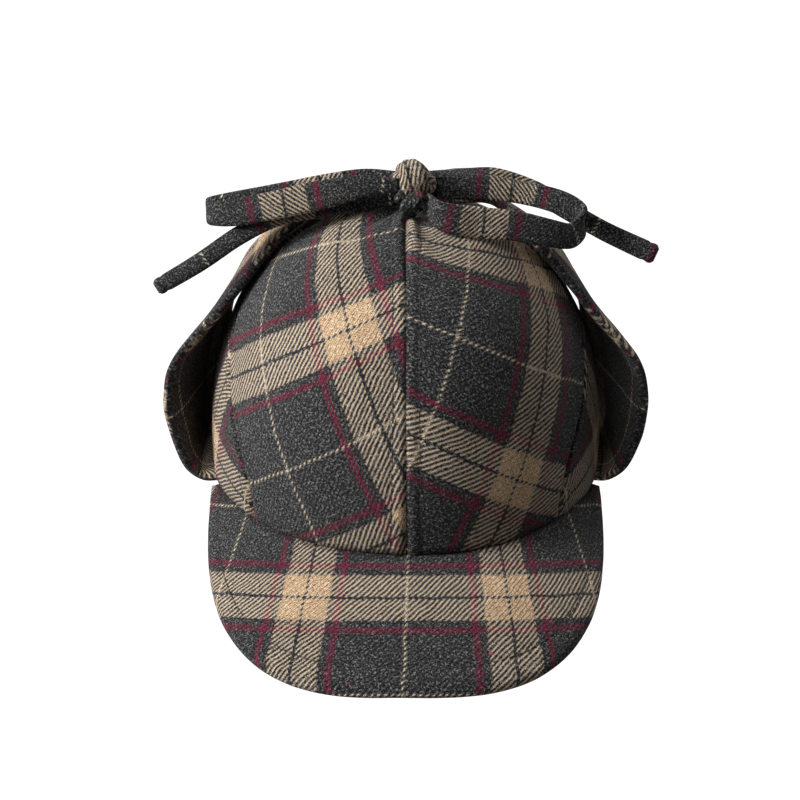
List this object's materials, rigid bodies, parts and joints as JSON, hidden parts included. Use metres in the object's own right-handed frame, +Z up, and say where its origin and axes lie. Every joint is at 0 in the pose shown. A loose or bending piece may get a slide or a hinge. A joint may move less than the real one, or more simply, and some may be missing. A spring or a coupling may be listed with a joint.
{
  "type": "trapper hat",
  "caption": "Plaid wool cap with a panelled round crown, a curved front visor, and side ear flaps folded up and tied in a bow over the top.",
  "frame": {"origin": "centre of the head opening, in the plane of the rim", "axes": "+Z up out of the crown; -Y forward along the visor; +X towards the wearer's left"},
  "size_m": [0.2213, 0.2505, 0.1683],
  "materials": {
    "wool_crown": "plaid wool twill",
    "wool_visor": "plaid wool twill",
    "wool_flaps": "plaid wool twill",
    "wool_ties": "plaid wool twill, bias-cut ribbon",
    "lining": "smooth woven lining",
    "sweatband": "ribbed cotton tape",
    "label": "blank woven satin",
    "visor_board": "matte",
    "wadding": "soft needled wadding",
    "thread": "sewing thread"
  },
  "bodies": {
    "crown": {"crown_front_left": "wool_crown", "crown_front_right": "wool_crown", "crown_side_left": "wool_crown", "crown_side_right": "wool_crown", "crown_back_left": "wool_crown", "crown_back_right": "wool_crown", "lining_front_left": "lining", "lining_front_right": "lining", "lining_side_left": "lining", "lining_side_right": "lining", "lining_back_left": "lining", "lining_back_right": "lining", "sweatband": "sweatband", "size_label": "label", "care_label": "label", "visor_top_cloth": "wool_visor", "visor_board": "visor_board", "visor_under_cloth": "wool_visor", "crown_topstitch": "thread", "visor_topstitch": "thread"},
    "left_flap": {"flap_left_outer": "wool_flaps", "flap_left_inner": "wool_flaps", "flap_left_wadding": "wadding"},
    "left_flap_tip": {"flap_left_tip_outer": "wool_flaps", "flap_left_tip_inner": "wool_flaps", "flap_left_tip_wadding": "wadding", "tie_left": "wool_ties", "bow_knot": "wool_ties", "tie_left_tack": "thread"},
    "right_flap": {"flap_right_outer": "wool_flaps", "flap_right_inner": "wool_flaps", "flap_right_wadding": "wadding"},
    "right_flap_tip": {"flap_right_tip_outer": "wool_flaps", "flap_right_tip_inner": "wool_flaps", "flap_right_tip_wadding": "wadding", "tie_right": "wool_ties", "tie_right_tack": "thread"}
  },
  "joints": [
    {"name": "left_flap_fold", "type": "hinge", "parent": "crown", "child": "left_flap", "pos_m": [0.084, 0, -0.0031], "axis": [0, 1, 0], "range_deg": [0, 155]},
    {"name": "left_tip_fold", "type": "hinge", "parent": "left_flap", "child": "left_flap_tip", "pos_m": [0.09397, 0, 0.05484], "axis": [-0.298, 0.9546, 0], "range_deg": [0, 62]},
    {"name": "right_flap_fold", "type": "hinge", "parent": "crown", "child": "right_flap", "pos_m": [-0.084, 0, -0.0031], "axis": [0, -1, 0], "range_deg": [0, 155]},
    {"name": "right_tip_fold", "type": "hinge", "parent": "right_flap", "child": "right_flap_tip", "pos_m": [-0.09397, 0, 0.05484], "axis": [-0.298, -0.9546, 0], "range_deg": [0, 62]}
  ],
  "couplings": [
    {"joint": "left_tip_fold", "follows": "left_flap_fold", "ratio": 0.4},
    {"joint": "right_tip_fold", "follows": "right_flap_fold", "ratio": 0.4}
  ]
}
